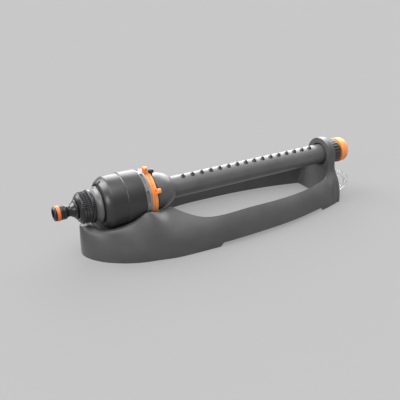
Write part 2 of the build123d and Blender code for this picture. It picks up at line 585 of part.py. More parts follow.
def end_cap():
    """Pull-out end cap: rounded head and a plug with a groove for its seal."""
    plug = TUBE_RADIUS - TUBE_WALL - RUNNING
    start = X_CAP - CAP_PLUG
    return turned((start, 0), (start, plug - 0.8), (start + 0.8, plug), (start + 3.0, plug), (start + 3.0, plug - 1.6),
                  (start + 5.0, plug - 1.6), (start + 5.0, plug), (X_CAP, plug), (X_CAP, CAP_RADIUS - 0.8),
                  (X_CAP + 0.8, CAP_RADIUS), (X_END - 4.0, CAP_RADIUS + 0.2), (X_END - 1.6, CAP_RADIUS - 0.8),
                  (X_END - 0.4, CAP_RADIUS - 2.6), (X_END, CAP_RADIUS - 4.6), (X_END, 0))


def cap_seal():
    plug = TUBE_RADIUS - TUBE_WALL - RUNNING
    start = X_CAP - CAP_PLUG + 3.0
    return sleeve(start + 0.1, start + 1.9, plug + 0.03, plug - 1.6)


def cleaning_needle():
    """Pin in the end of the plug, for clearing the nozzles once the cap is out."""
    return sleeve(X_CAP - CAP_PLUG - NEEDLE_LENGTH, X_CAP - CAP_PLUG, NEEDLE_RADIUS)


# ================================================================ hose connection
def hose_nipple():
    """Male quick connector: O-ring groove, neck, shoulder, and a flange held inside the nut."""
    groove = X_TIP + O_RING_PLACE
    flange = X_NUT + NUT_WALL
    return turned((X_TIP, NIPPLE_BORE), (X_TIP, NIPPLE_RADIUS - 1.3), (X_TIP + 1.3, NIPPLE_RADIUS),
                  (groove, NIPPLE_RADIUS), (groove, O_RING_SEAT), (groove + O_RING_WIDTH, O_RING_SEAT),
                  (groove + O_RING_WIDTH, NIPPLE_RADIUS), (X_TIP + 12.0, NIPPLE_RADIUS),
                  (X_TIP + 15.0, NIPPLE_NECK_RADIUS), (X_TIP + 18.0, NIPPLE_NECK_RADIUS),
                  (X_NUT - 0.8, NIPPLE_SHOULDER_RADIUS), (flange + 0.1, NIPPLE_SHOULDER_RADIUS),
                  (flange + 0.1, THREAD_RADIUS - 0.1), (flange + 2.4, THREAD_RADIUS - 0.1),
                  (flange + 2.4, NIPPLE_BORE))


def nipple_o_ring():
    groove = X_TIP + O_RING_PLACE
    middle = (O_RING_SEAT + O_RING_RADIUS) / 2
    profile = Pos(groove + O_RING_WIDTH / 2, middle) * RectangleRounded(O_RING_WIDTH - 0.2, O_RING_RADIUS - O_RING_SEAT, 0.7)
    return Pos(0, 0, AXIS_HEIGHT) * revolve(profile, Axis.X, 360)


def union_nut():
    """Knurled nut that draws the nipple's flange and washer onto the threaded inlet."""
    back = X_COLLAR - GAP
    bore = THREAD_RADIUS + RUNNING
    inside = X_NUT + NUT_WALL
    nut = turned((X_NUT, NIPPLE_SHOULDER_RADIUS + RUNNING), (X_NUT, NUT_RADIUS - 2.9), (X_NUT + 3.0, NUT_RADIUS),
                 (back - 4.4, NUT_RADIUS), (back - 4.0, NUT_FLANGE_RADIUS - 0.4), (back - 3.2, NUT_FLANGE_RADIUS),
                 (back - 0.4, NUT_FLANGE_RADIUS), (back, NUT_FLANGE_RADIUS - 0.4), (back, bore), (inside, bore),
                 (inside, NIPPLE_SHOULDER_RADIUS + RUNNING))
    length = back - 4.2 - (X_NUT + 3.4)
    knurl = Pos(X_NUT + 3.4 + length / 2, 0, AXIS_HEIGHT + NUT_RADIUS) * Rot(45, 0, 0)
    knurl = knurl * Box(length, 2 * KNURL_HEIGHT / sqrt(2), 2 * KNURL_HEIGHT / sqrt(2))
    return nut + [at_angle(knurl, 360 / KNURLS * k) for k in range(KNURLS)]


WASHER_START = X_NUT + NUT_WALL + 2.4
STUB_START = WASHER_START + WASHER_THICKNESS


def flat_washer():
    return sleeve(WASHER_START, STUB_START, THREAD_RADIUS - 0.1, NIPPLE_BORE + 0.4)


def inlet_collar():
    """Threaded inlet stub, flared collar in front of the drum, and the spigot inside the drum."""
    spigot_end = X_DRUM + 6.0
    return turned((STUB_START, INLET_BORE), (STUB_START, THREAD_RADIUS), (X_COLLAR, THREAD_RADIUS),
                  (X_COLLAR, COLLAR_FRONT_RADIUS), (X_COLLAR + 2.5, COLLAR_FRONT_RADIUS + 0.7),
                  (X_DRUM - 1.6, COLLAR_BACK_RADIUS), (X_DRUM - 1.0, COLLAR_BACK_RADIUS), (X_DRUM - 1.0, SPIGOT_RADIUS + 1.5),
                  (X_DRUM, SPIGOT_RADIUS + 1.5), (X_DRUM, SPIGOT_RADIUS), (spigot_end, SPIGOT_RADIUS), (spigot_end, INLET_BORE))


def inlet_filter():
    """Cup-shaped dirt filter in the inlet bore, its wall cut into slots."""
    start = STUB_START
    cup = turned((start, 6.4), (start, INLET_BORE), (start + 1.2, INLET_BORE), (start + 1.2, 7.4), (start + 14.0, 6.0),
                 (start + 14.0, 0), (start + 13.0, 0), (start + 13.0, 5.2), (start + 1.2, 6.4))
    slot = Pos(start + 7.2, 0, AXIS_HEIGHT + 6.2) * Box(8.0, 1.2, 6.0)
    return cup - [at_angle(slot, 36 * k) for k in range(10)]


def journal_seal():
    """Lip seal in the groove of the journal bearing."""
    return sleeve(X_POCKETS - 0.8, X_POCKETS + 1.2, SEAL_RADIUS, JOURNAL_RADIUS + RUNNING)


# ================================================================ gear drive
def gear_outline(teeth, inward=False):
    """Gear outline with straight flanks; inward makes the hole of a gear with internal teeth."""
    side = -1 if inward else 1
    pitch = MODULE * teeth / 2
    root = pitch - side * DEDENDUM
    tip = pitch + side * ADDENDUM
    half = (pi * MODULE / 2 - BACKLASH) / 2
    root_angle = min((half + FLANK * DEDENDUM) / root, 0.96 * pi / teeth)
    tip_angle = (half - FLANK * ADDENDUM) / tip
    corners = []
    for k in range(teeth):
        middle = 2 * pi * k / teeth
        for radius, angle in ((root, -root_angle), (tip, -tip_angle), (tip, tip_angle), (root, root_angle)):
            corners.append((radius * cos(middle + angle), radius * sin(middle + angle)))
    return make_face(Polyline(*corners, close=True))


def jet_selector():
    """Shutter that turns a little to feed one set of jets or the other."""
    disc = sleeve(X_SELECTOR, X_SELECTOR + SELECTOR_THICKNESS, SELECTOR_RADIUS, SHAFT_RADIUS * 2 + RUNNING)
    windows = [at_angle(Pos(X_SELECTOR, 0, AXIS_HEIGHT + JET_CIRCLE) * Rot(0, 90, 0) * Cylinder(JET_RADIUS + 0.8, 10),
                        720 / JETS * k) for k in range(JETS // 2)]
    arm = Pos(X_SELECTOR + SELECTOR_THICKNESS / 2, 0, AXIS_HEIGHT + SELECTOR_RADIUS + 1.2)
    return disc - windows + arm * Box(SELECTOR_THICKNESS, 4.0, 5.0)


def stator_plate():
    """Jet plate: slanted jets round a boss that carries the selector in front and the shaft behind."""
    plate = turned((BOSS_START, 0), (BOSS_START, SHAFT_RADIUS * 2), (X_STATOR, SHAFT_RADIUS * 2),
                   (X_STATOR, DRUM_RADIUS - DRUM_WALL), (X_STATOR + STATOR_THICKNESS, DRUM_RADIUS - DRUM_WALL),
                   (X_STATOR + STATOR_THICKNESS, SHAFT_RADIUS + RUNNING), (BOSS_START + 1.5, SHAFT_RADIUS + RUNNING),
                   (BOSS_START + 1.5, 0))
    jets = []
    for k in range(JETS):
        slant = JET_SLANT if k % 2 else -JET_SLANT
        jet = Pos(X_STATOR + STATOR_THICKNESS / 2, 0, AXIS_HEIGHT + JET_CIRCLE) * Rot(0, 0, slant) * Rot(0, 90, 0)
        jets.append(at_angle(jet * Cylinder(JET_RADIUS, 3 * STATOR_THICKNESS), 360 / JETS * k))
    return plate - jets


def turbine_wheel():
    """Impeller: hub, twelve blades and a thin rim."""
    end = X_TURBINE + TURBINE_WIDTH
    hub = sleeve(X_TURBINE, end, 4.2, SHAFT_RADIUS)
    rim = sleeve(X_TURBINE, end, TURBINE_RADIUS, TURBINE_RADIUS - 1.0)
    length = TURBINE_RADIUS - 0.5 - 3.8
    blade = Pos((X_TURBINE + end) / 2, 0, AXIS_HEIGHT + 3.8 + length / 2)
    blade = blade * Box(TURBINE_WIDTH, 1.2, length)
    return hub + rim + [at_angle(blade, 360 / TURBINE_BLADES * k) for k in range(TURBINE_BLADES)]


def turbine_shaft():
    """Steel shaft of the turbine with the first pinion cut on its end."""
    shaft = sleeve(BOSS_START + 1.7, X_WHEELS, SHAFT_RADIUS)
    return shaft + across(X_WHEELS, X_WHEELS + FACE_WIDTH, gear_outline(PINION_TEETH))


def front_gear_plate():
    """Plate across the drum that carries the layshaft pins, with holes for the water round its edge."""
    plate = sleeve(X_PLATE, X_PLATE + PLATE_THICKNESS, DRUM_RADIUS - DRUM_WALL, SHAFT_RADIUS + RUNNING)
    ports = [at_angle(Pos(X_PLATE, 0, AXIS_HEIGHT + 21.0) * Rot(0, 90, 0) * Cylinder(3.4, 10), 40 + 40 * k)
             for k in range(8)]
    pins = [Pos(X_PLATE, 0, AXIS_HEIGHT + side * LAYSHAFT_OFFSET) * Rot(0, 90, 0) * Cylinder(PIN_RADIUS, 10)
            for side in (1, -1)]
    return plate - ports - pins


def layshaft_pins():
    length = X_RING_DISC - 0.8 - X_PLATE
    pins = [Pos(X_PLATE, 0, AXIS_HEIGHT + side * LAYSHAFT_OFFSET) * Rot(0, 90, 0)
            * Cylinder(PIN_RADIUS, length, align=(Align.CENTER, Align.CENTER, Align.MIN)) for side in (1, -1)]
    return Compound(children=pins)


def layshaft_gear(side):
    """Wheel driven by the turbine's pinion, with the long pinion that drives the output ring."""
    z = AXIS_HEIGHT + side * LAYSHAFT_OFFSET
    wheel = across(X_WHEELS, X_WHEELS + FACE_WIDTH, gear_outline(WHEEL_TEETH), z=z)
    pinion_end = X_RING_DISC - 0.5
    pinion_start = X_WHEELS + FACE_WIDTH
    pinion = across(pinion_start, pinion_end, gear_outline(PINION_TEETH), z=z)
    bore = Pos(X_WHEELS, 0, z) * Rot(0, 90, 0) * Cylinder(PIN_RADIUS + RUNNING, 60)
    return wheel + pinion - bore


def output_ring_gear():
    """Cup with internal teeth, fixed on the front end of the hub's journal."""
    teeth = gear_outline(RING_TEETH, inward=True)
    outer = MODULE * RING_TEETH / 2 + 3.2
    cup = across(X_RING_DISC - RING_FACE, X_RING_DISC, Circle(outer) - teeth)
    return cup + sleeve(X_RING_DISC, X_RING_DISC + PLATE_THICKNESS, outer, JOURNAL_RADIUS)


# ================================================================ nodes
nodes = {
    "base_frame": base_frame(),
    "hoop_bush": hoop_bush(),
    "hang_tab": hang_tab(),
    "drum_screws": drum_screws(),
    "drum_front_shell": drum_front_shell(),
    "drum_rear_shell": drum_rear_shell(),
    "pocket_ring": pocket_ring(),
    "front_stop_ring": stop_ring(X_STOP_A, STOP_A_ANGLE, 0),
    "rear_stop_ring": stop_ring(X_STOP_B, STOP_B_ANGLE, GAP),
    "trip_lever": trip_lever(),
    "dome_shell": dome_shell(),
    "drive_hub": drive_hub(),
    "journal_seal": journal_seal(),
    "spray_tube": spray_tube(),
    "spray_nozzles": spray_nozzles(),
    "end_collar": end_collar(),
    "end_cap": end_cap(),
    "cap_seal": cap_seal(),
    "cleaning_needle": cleaning_needle(),
    "hose_nipple": hose_nipple(),
    "nipple_o_ring": nipple_o_ring(),
    "union_nut": union_nut(),
    "flat_washer": flat_washer(),
    "inlet_collar": inlet_collar(),
    "inlet_filter": inlet_filter(),
    "jet_selector": jet_selector(),
    "stator_plate": stator_plate(),
    "turbine_wheel": turbine_wheel(),
    "turbine_shaft": turbine_shaft(),
    "front_gear_plate": front_gear_plate(),
    "layshaft_pins": layshaft_pins(),
    "layshaft_gear_upper": layshaft_gear(1),
    "layshaft_gear_lower": layshaft_gear(-1),
    "output_ring_gear": output_ring_gear(),
}

for name, shape in nodes.items():
    export_step(shape, f"parts/{name}.step")
print(f"overall length {OVERALL:.1f}, {len(nodes)} nodes")
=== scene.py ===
# %% [markdown]
# # An oscillating lawn sprinkler
#
# This file dresses a imported CAD model. Every piece is drawn where the CAD says it is, in metres,
# with its object at the origin and its place in its mesh. Most pieces of this sprinkler are turned
# round one line, the spray axis, so most of the work is in profiles: a few corners, rounded off,
# carried round the axis, and sometimes shifted in and out to make knurls, ribs or pockets.
#
# The first cell loads the model and keeps its parts, whose boxes the next cell measures.

import json
from math import cos, pi, radians, sin

import bmesh
import bpy
import numpy as np
from mathutils import Matrix, Vector


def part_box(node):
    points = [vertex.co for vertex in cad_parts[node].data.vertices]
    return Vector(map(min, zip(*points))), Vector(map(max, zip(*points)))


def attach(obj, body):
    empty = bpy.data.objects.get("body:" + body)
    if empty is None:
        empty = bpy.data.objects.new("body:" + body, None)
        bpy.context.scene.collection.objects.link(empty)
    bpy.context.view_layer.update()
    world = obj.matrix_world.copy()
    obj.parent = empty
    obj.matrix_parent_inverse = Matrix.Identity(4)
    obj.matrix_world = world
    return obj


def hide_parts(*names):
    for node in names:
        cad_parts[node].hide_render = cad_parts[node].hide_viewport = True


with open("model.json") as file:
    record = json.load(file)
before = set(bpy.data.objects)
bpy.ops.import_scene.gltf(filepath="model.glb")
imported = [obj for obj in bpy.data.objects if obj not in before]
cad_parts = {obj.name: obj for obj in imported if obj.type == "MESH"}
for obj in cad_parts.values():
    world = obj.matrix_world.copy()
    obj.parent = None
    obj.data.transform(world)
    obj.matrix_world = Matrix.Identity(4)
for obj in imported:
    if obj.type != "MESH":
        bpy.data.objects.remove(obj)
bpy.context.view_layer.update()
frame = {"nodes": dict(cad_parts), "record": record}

# %% [markdown]
# ## Stations along the spray axis
#
# The CAD boxes say where each piece starts and ends along X, and the O-ring's box has the spray axis
# in its middle. Lengths inside a piece are typed in millimetres, because a maker thinks in those.

# %% Measure the CAD boxes
MM = 0.001


def first_x(node):
    """Where a CAD node starts along the axis, in millimetres."""
    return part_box(node)[0].x / MM


def last_x(node):
    """Where a CAD node ends along the axis, in millimetres."""
    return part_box(node)[1].x / MM


ring_low, ring_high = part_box("nipple_o_ring")
AXIS = (ring_low.z + ring_high.z) / 2 / MM
x_tip = first_x("hose_nipple")
x_nut = first_x("union_nut")
x_nut_back = last_x("union_nut")
x_drum = first_x("drum_front_shell")
x_seam = first_x("drum_rear_shell")
x_pockets = first_x("pocket_ring")
x_stop_a = first_x("front_stop_ring")
x_stop_b = first_x("rear_stop_ring")
x_trip_end = last_x("trip_lever")
x_dome = first_x("dome_shell")
x_tube = last_x("dome_shell")
x_hoop_back = last_x("base_frame")
x_end_collar = first_x("end_collar")
x_neck = last_x("end_collar")
x_end = last_x("end_cap")
print(f"spray axis {AXIS:.1f} mm over the ground, tip {x_tip:.1f}, end {x_end:.1f}")

# %% [markdown]
# ## Camera, light and floor
#
# The camera looks down at the sprinkler from the hose end. A camera's own axes are right, up and
# backwards, so its matrix is built from those three directions instead of from rotations.

# %% Camera
CAMERA_PLACE = (-0.3230, -0.5179, 0.3128)
CAMERA_LENS = 50.4
azimuth, elevation = radians(30.1), radians(25.26)
forward = Vector((sin(azimuth) * cos(elevation), cos(azimuth) * cos(elevation), -sin(elevation)))
right = Vector((cos(azimuth), -sin(azimuth), 0))
up = right.cross(forward)
camera = bpy.data.objects.new("camera", bpy.data.cameras.new("camera"))
bpy.context.scene.collection.objects.link(camera)
stand = Matrix((right, up, -forward)).transposed().to_4x4()
stand.translation = Vector(CAMERA_PLACE)
camera.matrix_world = stand
camera.data.lens = CAMERA_LENS
camera.data.sensor_width = 36
camera.data.clip_start = 0.01
bpy.context.scene.camera = camera
print("camera looks along", tuple(round(c, 3) for c in forward))

# %% [markdown]
# Dark plastic shows its shape by what it reflects. Lamps could be hung round the object, but each
# would light the floor unevenly. So the studio is a world with soft bright patches in it, far away
# on all sides. A patch is a node chain that compares the direction being looked in with the patch's
# own direction.


# %% Soft patches
def soft_patch(nodes, links, direction, inner, outer, strength):
    """Strength times the eased step of the angle from a direction, 1 inside inner and 0 past outer."""
    place = nodes.new("ShaderNodeTexCoord")
    closeness = nodes.new("ShaderNodeVectorMath")
    closeness.operation = "DOT_PRODUCT"
    closeness.inputs[1].default_value = Vector(direction).normalized()
    links.new(place.outputs["Generated"], closeness.inputs[0])
    step = nodes.new("ShaderNodeMapRange")
    step.interpolation_type = "SMOOTHSTEP"
    step.inputs["From Min"].default_value = cos(radians(outer))
    step.inputs["From Max"].default_value = cos(radians(inner))
    step.inputs["To Max"].default_value = strength
    links.new(closeness.outputs["Value"], step.inputs["Value"])
    return step.outputs["Result"]


print("a patch fades with the cosine of the angle from its direction")

# %% [markdown]
# Each row of the table is a direction, the angles in degrees where the patch starts and has ended its
# fade, and a strength. Left is -X there, and behind is +Y. The viewer's side stays dim, so the middle
# of each piece stays dark. Seen directly, past the end of the floor, the world looks plain: a Light
# Path node tells those rays apart.

# %% Studio world
SHADE_STRENGTH = 0.35
PLAIN_STRENGTH = 0.60
world = bpy.data.worlds.new("studio")
world.use_nodes = True
world_nodes, world_links = world.node_tree.nodes, world.node_tree.links
patches = [
    ((-0.50, 0.42, 0.76), 10, 22, 10.0),  # high, behind to the left
    ((-0.45, 0.75, 0.45), 8, 24, 6.0),  # lower, behind to the left, for the drum's shoulder
    ((0.46, 0.80, 0.40), 12, 30, 6.5),  # low, behind to the right, for surfaces that face up
    ((0.77, 0.30, 0.56), 8, 22, 6.0),  # right, for the dome
    ((-0.10, -0.25, 0.96), 8, 30, 3.0),  # nearly overhead
    ((-0.84, -0.33, 0.30), 4, 13, 10.0),  # small and low on the left
    ((0.00, 0.00, 1.00), 20, 70, 0.8),  # wide and faint overhead
]
total = world_nodes.new("ShaderNodeValue").outputs[0]
total.default_value = SHADE_STRENGTH
for patch in patches:
    brighter = world_nodes.new("ShaderNodeMath")
    world_links.new(total, brighter.inputs[0])
    world_links.new(soft_patch(world_nodes, world_links, *patch), brighter.inputs[1])
    total = brighter.outputs[0]
plain = world_nodes.new("ShaderNodeMix")
plain.inputs["B"].default_value = PLAIN_STRENGTH
ray = world_nodes.new("ShaderNodeLightPath")
world_links.new(ray.outputs["Is Camera Ray"], plain.inputs["Factor"])
world_links.new(total, plain.inputs["A"])
world_links.new(plain.outputs["Result"], world_nodes["Background"].inputs["Strength"])
world_nodes["Background"].inputs["Color"].default_value = (1, 1, 1, 1)
bpy.context.scene.world = world
bpy.context.scene.view_settings.view_transform = "Standard"
print("studio patches:", len(patches))

# %% [markdown]
# The floor is one big square under the sprinkler. Its paper comes with the finishes, in the next
# step.

# %% Floor
FLOOR_REACH = 12.0
floor_mesh = bpy.data.meshes.new("studio_floor")
floor_corners = np.array([(-1, -1, 0), (1, -1, 0), (1, 1, 0), (-1, 1, 0)]) * FLOOR_REACH
floor_mesh.from_pydata(floor_corners.tolist(), [], [(0, 1, 2, 3)])
studio_floor = bpy.data.objects.new("studio_floor", floor_mesh)
bpy.context.scene.collection.objects.link(studio_floor)
print("floor reaches", FLOOR_REACH, "m each way")

# %% [markdown]
# ## Finishes
#
# All the plastic is injection moulded. Its colour wanders very little, its gloss a bit more, and a
# fine spark-eroded grain from the mould shows close up. Two noises do this: a coarse one drives the
# colour and the gloss, and a fine one drives the bump. Both read Object coordinates, so the grain
# has the same size on every piece, whatever its shape.


# %% Moulded plastic
def moulded(name, colour, roughness, grain=0.12, wander=0.10, specular=0.5):
    """Plastic whose colour is colour times 1 - wander to 1 + wander, with a fine grain as bump."""
    material = bpy.data.materials.new(name)
    material.use_nodes = True
    nodes, links = material.node_tree.nodes, material.node_tree.links
    shader = nodes["Principled BSDF"]
    shader.inputs["Specular IOR Level"].default_value = specular
    place = nodes.new("ShaderNodeTexCoord")
    cloud = nodes.new("ShaderNodeTexNoise")
    cloud.inputs["Scale"].default_value = 38.0
    cloud.inputs["Detail"].default_value = 3.0
    links.new(place.outputs["Object"], cloud.inputs["Vector"])
    tone = nodes.new("ShaderNodeValToRGB")
    for stop, share in zip(tone.color_ramp.elements, (1 - wander, 1 + wander)):
        stop.color = (*[channel * share for channel in colour], 1)
    tone.color_ramp.elements[0].position = 0.35
    tone.color_ramp.elements[1].position = 0.65
    links.new(cloud.outputs["Fac"], tone.inputs["Fac"])
    links.new(tone.outputs["Color"], shader.inputs["Base Color"])
    gloss = nodes.new("ShaderNodeMapRange")
    gloss.inputs["To Min"].default_value = roughness * 0.88
    gloss.inputs["To Max"].default_value = roughness * 1.12
    links.new(cloud.outputs["Fac"], gloss.inputs["Value"])
    links.new(gloss.outputs["Result"], shader.inputs["Roughness"])
    fine = nodes.new("ShaderNodeTexNoise")
    fine.inputs["Scale"].default_value = 3200.0
    fine.inputs["Detail"].default_value = 2.0
    links.new(place.outputs["Object"], fine.inputs["Vector"])
    bump = nodes.new("ShaderNodeBump")
    bump.inputs["Strength"].default_value = grain
    bump.inputs["Distance"].default_value = 0.04 * MM
    links.new(fine.outputs["Fac"], bump.inputs["Height"])
    links.new(bump.outputs["Normal"], shader.inputs["Normal"])
    return material


print("moulded plastic is ready")

# %% [markdown]
# One table holds the finishes. The mouldings that share a slot aren't all the same to the eye: the
# base is a little darker than the tube, and the drum is darker still. The pocket ring is painted
# paler: it is a lighter copy of the grey plastic that lifts the shade it sits in. A row is a colour
# and a roughness. Colours are linear, so a dark one looks lighter than its numbers read.

# %% Table of finishes
finishes = {
    "grey_plastic": moulded("grey_plastic", (0.098, 0.098, 0.100), 0.34),
    "base_plastic": moulded("base_plastic", (0.067, 0.067, 0.069), 0.38),
    "drum_plastic": moulded("drum_plastic", (0.026, 0.026, 0.027), 0.32, grain=0.06),
    # Painted light: the pocket ring's grey is paler than the grey plastic, to lift the shade it sits in.
    "ring_plastic_painted_light": moulded("ring_plastic_painted_light", (0.19, 0.19, 0.195), 0.28),
    "black_plastic": moulded("black_plastic", (0.012, 0.012, 0.014), 0.24),
    "orange_plastic": moulded("orange_plastic", (0.90, 0.31, 0.085), 0.34, grain=0.05),
    "orange_rubber": moulded("orange_rubber", (0.74, 0.17, 0.035), 0.45, grain=0.03),
    "black_rubber": moulded("black_rubber", (0.018, 0.018, 0.020), 0.45, grain=0.2),
    "white_acetal": moulded("white_acetal", (0.80, 0.80, 0.76), 0.35, grain=0.03, wander=0.03),
}
print("plastics:", ", ".join(finishes))

# %% [markdown]
# The floor's paper glows a little, as a light table does, so that shadows on it stay pale. It has no
# gloss, which keeps it one even grey up to its far end.

# %% Studio paper
PAPER_GLOW = 0.30
studio_paper = moulded("studio_paper", (0.100, 0.0985, 0.099), 0.9, grain=0.02, wander=0.0, specular=0.0)
paper_shader = studio_paper.node_tree.nodes["Principled BSDF"]
paper_shader.inputs["Emission Color"].default_value = (1.0, 0.985, 0.99, 1)
paper_shader.inputs["Emission Strength"].default_value = PAPER_GLOW
studio_floor.data.materials.append(studio_paper)
print("floor paper glows at", PAPER_GLOW)

# %% [markdown]
# The hang tab is clear plastic. Most of the light goes through it and bends, and the rest is
# scattered, so that it shows up white at its edges against the pale floor.


# %% Clear plastic
def clear_plastic():
    """Clear moulding: 78% of the light goes through, and roughness wanders from 0.04 to 0.16."""
    material = bpy.data.materials.new("clear_plastic")
    material.use_nodes = True
    nodes, links = material.node_tree.nodes, material.node_tree.links
    shader = nodes["Principled BSDF"]
    shader.inputs["Base Color"].default_value = (0.96, 0.97, 0.97, 1)
    shader.inputs["Transmission Weight"].default_value = 0.78
    shader.inputs["IOR"].default_value = 1.49
    place = nodes.new("ShaderNodeTexCoord")
    flow = nodes.new("ShaderNodeTexNoise")
    flow.inputs["Scale"].default_value = 220.0
    links.new(place.outputs["Object"], flow.inputs["Vector"])
    gloss = nodes.new("ShaderNodeMapRange")
    gloss.inputs["To Min"].default_value = 0.04
    gloss.inputs["To Max"].default_value = 0.16
    links.new(flow.outputs["Fac"], gloss.inputs["Value"])
    links.new(gloss.outputs["Result"], shader.inputs["Roughness"])
    return material


finishes["clear_plastic"] = clear_plastic()
print("clear finish:", finishes["clear_plastic"].name)

# %% [markdown]
# The screws, pins and shafts are bright steel drawn to wire. A noise stretched along the axis by a
# Mapping node reads as the marks of drawing.


# %% Steel
def drawn_steel():
    """Bright steel: metallic, with a noise stretched forty times along X for the drawing marks."""
    material = bpy.data.materials.new("steel")
    material.use_nodes = True
    nodes, links = material.node_tree.nodes, material.node_tree.links
    shader = nodes["Principled BSDF"]
    shader.inputs["Base Color"].default_value = (0.60, 0.60, 0.60, 1)
    shader.inputs["Metallic"].default_value = 1.0
    place = nodes.new("ShaderNodeTexCoord")
    stretch = nodes.new("ShaderNodeMapping")
    stretch.inputs["Scale"].default_value = (50, 2000, 2000)
    marks = nodes.new("ShaderNodeTexNoise")
    links.new(place.outputs["Object"], stretch.inputs["Vector"])
    links.new(stretch.outputs["Vector"], marks.inputs["Vector"])
    gloss = nodes.new("ShaderNodeMapRange")
    gloss.inputs["To Min"].default_value = 0.18
    gloss.inputs["To Max"].default_value = 0.40
    links.new(marks.outputs["Fac"], gloss.inputs["Value"])
    links.new(gloss.outputs["Result"], shader.inputs["Roughness"])
    return material


finishes["steel"] = drawn_steel()
print("finishes:", len(finishes))

# %% [markdown]
# ## The helpers that make surfaces
#
# A piece is one or more grids of points. A grid that closes on itself has no seam, and a row of
# points that all lie in one place closes a pole. After the grids are joined, points in the same place
# are merged, faces without area are dissolved and the others are turned outwards, so that each grid
# ends up as a clean closed skin.


# %% Faces of a grid
def grid_faces(rows, columns, close_rows, close_columns):
    """Four-cornered faces between each point and its next neighbours, going round where it closes."""
    i = np.arange(rows if close_rows else rows - 1)[:, None]
    j = np.arange(columns if close_columns else columns - 1)[None, :]
    a, b = i * columns, (i + 1) % rows * columns
    c, d = j, (j + 1) % columns
    return np.stack([a + c, b + c, b + d, a + d], axis=-1).reshape(-1, 4)


print("a tube of 4 rings of 6 points has", len(grid_faces(4, 6, False, True)), "faces")


# %% [markdown]
# The next helper does what every piece needs.

# %% Grids into pieces
CREASE_DEGREES = 40


def make_piece(name, grids, finish, body, replaced):
    """Join grids, each (points in mm, closed rows, closed columns), into one piece on a body."""
    points, faces, count = [], [], 0
    for grid, close_rows, close_columns in grids:
        rows, columns = grid.shape[:2]
        faces.append(grid_faces(rows, columns, close_rows, close_columns) + count)
        points.append(grid.reshape(-1, 3) * MM)
        count += rows * columns
    mesh = bpy.data.meshes.new(name)
    mesh.from_pydata(np.concatenate(points).tolist(), [], np.concatenate(faces).tolist())
    shape = bmesh.new()
    shape.from_mesh(mesh)
    bmesh.ops.remove_doubles(shape, verts=shape.verts, dist=0.002 * MM)
    bmesh.ops.dissolve_degenerate(shape, dist=0.001 * MM, edges=shape.edges)
    bmesh.ops.recalc_face_normals(shape, faces=shape.faces)
    shape.to_mesh(mesh)
    shape.free()
    mesh.polygons.foreach_set("use_smooth", np.ones(len(mesh.polygons), bool))
    mesh.set_sharp_from_angle(angle=radians(CREASE_DEGREES))
    mesh.materials.append(finishes[finish])
    piece = bpy.data.objects.new(name, mesh)
    bpy.context.scene.collection.objects.link(piece)
    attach(piece, body)
    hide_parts(*replaced)
    print(f"{name}: {len(mesh.polygons)} faces")


print("creases past", CREASE_DEGREES, "degrees stay sharp")


# %% [markdown]
# A moulded edge is never sharp: it has a small radius, and that radius is what catches the light. So
# a profile is typed as corners, and each corner becomes a short curve that leaves one side and joins
# the next. A radius can be given for all the corners, or one for each.


# %% Rounded profiles
def rounded(corners, radius, steps=6):
    """Closed outline whose corners are quadratic curves: (1-t)^2 a + 2t(1-t) corner + t^2 b.

    a and b lie a radius away from the corner on its two sides, or 45% of the shorter side if that is
    less.
    """
    corner = np.array(corners, float)
    before = np.roll(corner, 1, axis=0) - corner
    after = np.roll(corner, -1, axis=0) - corner
    length_before = np.linalg.norm(before, axis=1, keepdims=True)
    length_after = np.linalg.norm(after, axis=1, keepdims=True)
    wanted = np.broadcast_to(np.array(radius, float), len(corner))[:, None]
    reach = np.minimum(wanted, 0.45 * np.minimum(length_before, length_after))
    a = corner + before / length_before * reach
    b = corner + after / length_after * reach
    t = np.linspace(0, 1, steps)[None, :, None]
    curve = (1 - t) ** 2 * a[:, None] + 2 * t * (1 - t) * corner[:, None] + t**2 * b[:, None]
    return curve.reshape(-1, 2)


def dense(outline, spacing):
    """The same closed outline with extra points, so that no side is longer than the spacing."""
    closed = np.vstack([outline, outline[:1]])
    run = np.concatenate([[0], np.cumsum(np.linalg.norm(np.diff(closed, axis=0), axis=1))])
    places = np.unique(np.concatenate([run[:-1], np.arange(0, run[-1], spacing)]).round(6))
    return np.stack([np.interp(places, run, closed[:, k]) for k in (0, 1)], axis=-1)


print("a rounded square has", len(rounded([(0, 0), (9, 0), (9, 9), (0, 9)], 2)), "points")


# %% [markdown]
# Carrying a profile round the axis is what a lathe does. The angle counts from upright towards the
# viewer's side, -Y. An optional shift moves the skin in or out by a formula in x and the angle, and
# that is how the knurls, ribs and pockets are made without any cutting.


# %% The lathe
def turned(profile, segments=144, shift=None):
    """Grid with x = x, y = -r sin(angle), z = axis + r cos(angle); shift(x, angle, r) is added to r."""
    angle = 2 * pi * np.arange(segments)[None, :] / segments
    x, r = profile[:, 0:1], profile[:, 1:2]
    radius = r + np.zeros_like(angle) if shift is None else r + shift(x, angle, r)
    y, z = -radius * np.sin(angle), AXIS + radius * np.cos(angle)
    return np.stack([x + np.zeros_like(angle), y, z], axis=-1), True, True


def window(value, half, edge):
    """1 within half of zero, 0 outside half + edge, and an eased slope 3u^2 - 2u^3 between them."""
    u = np.clip((half + edge - np.abs(value)) / edge, 0, 1)
    return u * u * (3 - 2 * u)


def wrapped(angle):
    """An angle brought into the range from -pi to pi."""
    return (angle + pi) % (2 * pi) - pi


print("one turned corner:", turned(np.array([(0.0, 10.0)]), 8)[0].shape)


# %% [markdown]
# ## The base
#
# The base is one large moulding: two rails round an opening, a trough for the drum and a hoop for
# the tube. Its CAD shape is right but for one thing: the rim of the trough, which is a corner there,
# is rolled over generously on the real part. So the base starts as a copy of the CAD mesh, with its
# triangles welded together. Long edges at the hose end are split until the mesh is fine enough there.
# Splitting leaves a few triangles with no area, which don't show.


